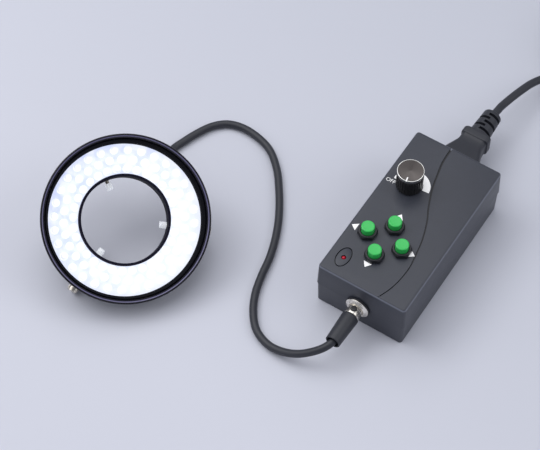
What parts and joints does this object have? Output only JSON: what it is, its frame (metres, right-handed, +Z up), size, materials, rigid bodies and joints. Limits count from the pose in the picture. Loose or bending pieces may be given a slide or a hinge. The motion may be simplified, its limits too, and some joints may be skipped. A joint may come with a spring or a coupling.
{
  "type": "microscope ring light",
  "caption": "Ring of white LEDs with a clamping collar, its control box with dimmer knob and push buttons, the lead between them and a mains lead with connector and plug.",
  "frame": {"origin": "centre of the flat underside of the control box", "axes": "+Y along the control box to its mains inlet, +X to its right seen from the lead socket, +Z up out of the panel; box and lamp head both lie on the plane z = 0"},
  "size_m": [0.3326, 0.4793, 0.0778],
  "materials": {
    "anodised": "satin black anodised",
    "black_plastic": "matte",
    "case_plastic": "fine texture",
    "rubber": "satin",
    "led_white": "clear white",
    "steel": "brushed",
    "nickel": "nickel plated",
    "nylon": "milky",
    "lamp_red": "glossy",
    "button_green": "satin",
    "bronze": "spun",
    "chrome": "polished",
    "circuit_green": "solder mask",
    "tape_yellow": "taped winding and core",
    "sleeve_blue": "sleeved"
  },
  "bodies": {
    "base": {"ring_housing": "anodised", "mount_collar": "anodised", "bezel_ring": "anodised", "retaining_ring": "black_plastic", "button_switch_1": "black_plastic", "button_switch_2": "black_plastic", "button_switch_3": "black_plastic", "button_switch_4": "black_plastic", "mains_inlet": "black_plastic", "case_top": "case_plastic", "case_bottom": "case_plastic", "led_inset": "case_plastic", "lead_gland": "rubber", "socket_gasket": "rubber", "plug_boot": "rubber", "lead": "rubber", "mains_connector": "rubber", "mains_cord": "rubber", "mains_coil": "rubber", "mains_tail": "rubber", "mains_plug": "rubber", "led_board": "led_white", "collar_screw_1": "steel", "collar_screw_2": "steel", "collar_screw_3": "steel", "case_screw_1": "steel", "case_screw_2": "steel", "case_screw_3": "steel", "case_screw_4": "steel", "dimmer_pot": "steel", "pot_nut": "steel", "socket_nut": "steel", "inlet_pin_line": "steel", "inlet_pin_neutral": "steel", "inlet_pin_earth": "steel", "plug_blade_line": "nickel", "plug_blade_neutral": "nickel", "plug_earth_pin": "nickel", "power_led": "lamp_red", "lead_socket": "chrome", "plug_shell": "chrome", "control_board": "circuit_green", "transformer": "tape_yellow", "filter_capacitor": "sleeve_blue"},
    "dimmer": {"dimmer_knob": "black_plastic", "knob_cap": "bronze", "dimmer_shaft": "steel"},
    "button_1": {"button_cap_1": "button_green"},
    "button_2": {"button_cap_2": "button_green"},
    "button_3": {"button_cap_3": "button_green"},
    "button_4": {"button_cap_4": "button_green"},
    "latch": {"plug_latch": "black_plastic"},
    "tip_1": {"thumbscrew_tip_1": "nylon"},
    "tip_2": {"thumbscrew_tip_2": "nylon"},
    "tip_3": {"thumbscrew_tip_3": "nylon"},
    "screw_1": {"thumbscrew_1": "nickel"},
    "screw_2": {"thumbscrew_2": "nickel"},
    "screw_3": {"thumbscrew_3": "nickel"}
  },
  "joints": [
    {"name": "dimmer_turn", "type": "hinge", "parent": "base", "child": "dimmer", "pos_m": [-0.0155, 0.0232, 0.05], "axis": [0, 0, 1], "range_deg": [0, 275]},
    {"name": "button_1_press", "type": "slide", "parent": "base", "child": "button_1", "axis": [0, 0, -1], "range_m": [0, 0.0025], "stiffness_N_per_m": 300, "springref_m": -0.003},
    {"name": "button_2_press", "type": "slide", "parent": "base", "child": "button_2", "axis": [0, 0, -1], "range_m": [0, 0.0025], "stiffness_N_per_m": 300, "springref_m": -0.003},
    {"name": "button_3_press", "type": "slide", "parent": "base", "child": "button_3", "axis": [0, 0, -1], "range_m": [0, 0.0025], "stiffness_N_per_m": 300, "springref_m": -0.003},
    {"name": "button_4_press", "type": "slide", "parent": "base", "child": "button_4", "axis": [0, 0, -1], "range_m": [0, 0.0025], "stiffness_N_per_m": 300, "springref_m": -0.003},
    {"name": "latch_press", "type": "slide", "parent": "base", "child": "latch", "axis": [0, 0, -1], "range_m": [0, 0.0008], "stiffness_N_per_m": 400, "springref_m": -0.001},
    {"name": "thumbscrew_1_feed", "type": "slide", "parent": "base", "child": "tip_1", "axis": [0.7447, -0.4212, -0.5177], "range_m": [-0.002, 0.012]},
    {"name": "thumbscrew_1_turn", "type": "hinge", "parent": "tip_1", "child": "screw_1", "pos_m": [-0.17463, -0.10007, 0.02465], "axis": [0.7447, -0.4212, -0.5177], "range_deg": [-1441, 8641]},
    {"name": "thumbscrew_2_feed", "type": "slide", "parent": "base", "child": "tip_2", "axis": [-0.8379, -0.5154, 0.1798], "range_m": [0, 0.014]},
    {"name": "thumbscrew_2_turn", "type": "hinge", "parent": "tip_2", "child": "screw_2", "pos_m": [-0.17463, -0.10007, 0.02465], "axis": [-0.8379, -0.5154, 0.1798], "range_deg": [-1, 10081]},
    {"name": "thumbscrew_3_feed", "type": "slide", "parent": "base", "child": "tip_3", "axis": [0.0932, 0.9366, 0.3379], "range_m": [0, 0.014]},
    {"name": "thumbscrew_3_turn", "type": "hinge", "parent": "tip_3", "child": "screw_3", "pos_m": [-0.17463, -0.10007, 0.02465], "axis": [0.0932, 0.9366, 0.3379], "range_deg": [-1, 10081]}
  ],
  "couplings": [
    {"joint": "thumbscrew_1_turn", "follows": "thumbscrew_1_feed", "rad_per_m": 12566},
    {"joint": "thumbscrew_2_turn", "follows": "thumbscrew_2_feed", "rad_per_m": 12566},
    {"joint": "thumbscrew_3_turn", "follows": "thumbscrew_3_feed", "rad_per_m": 12566}
  ]
}
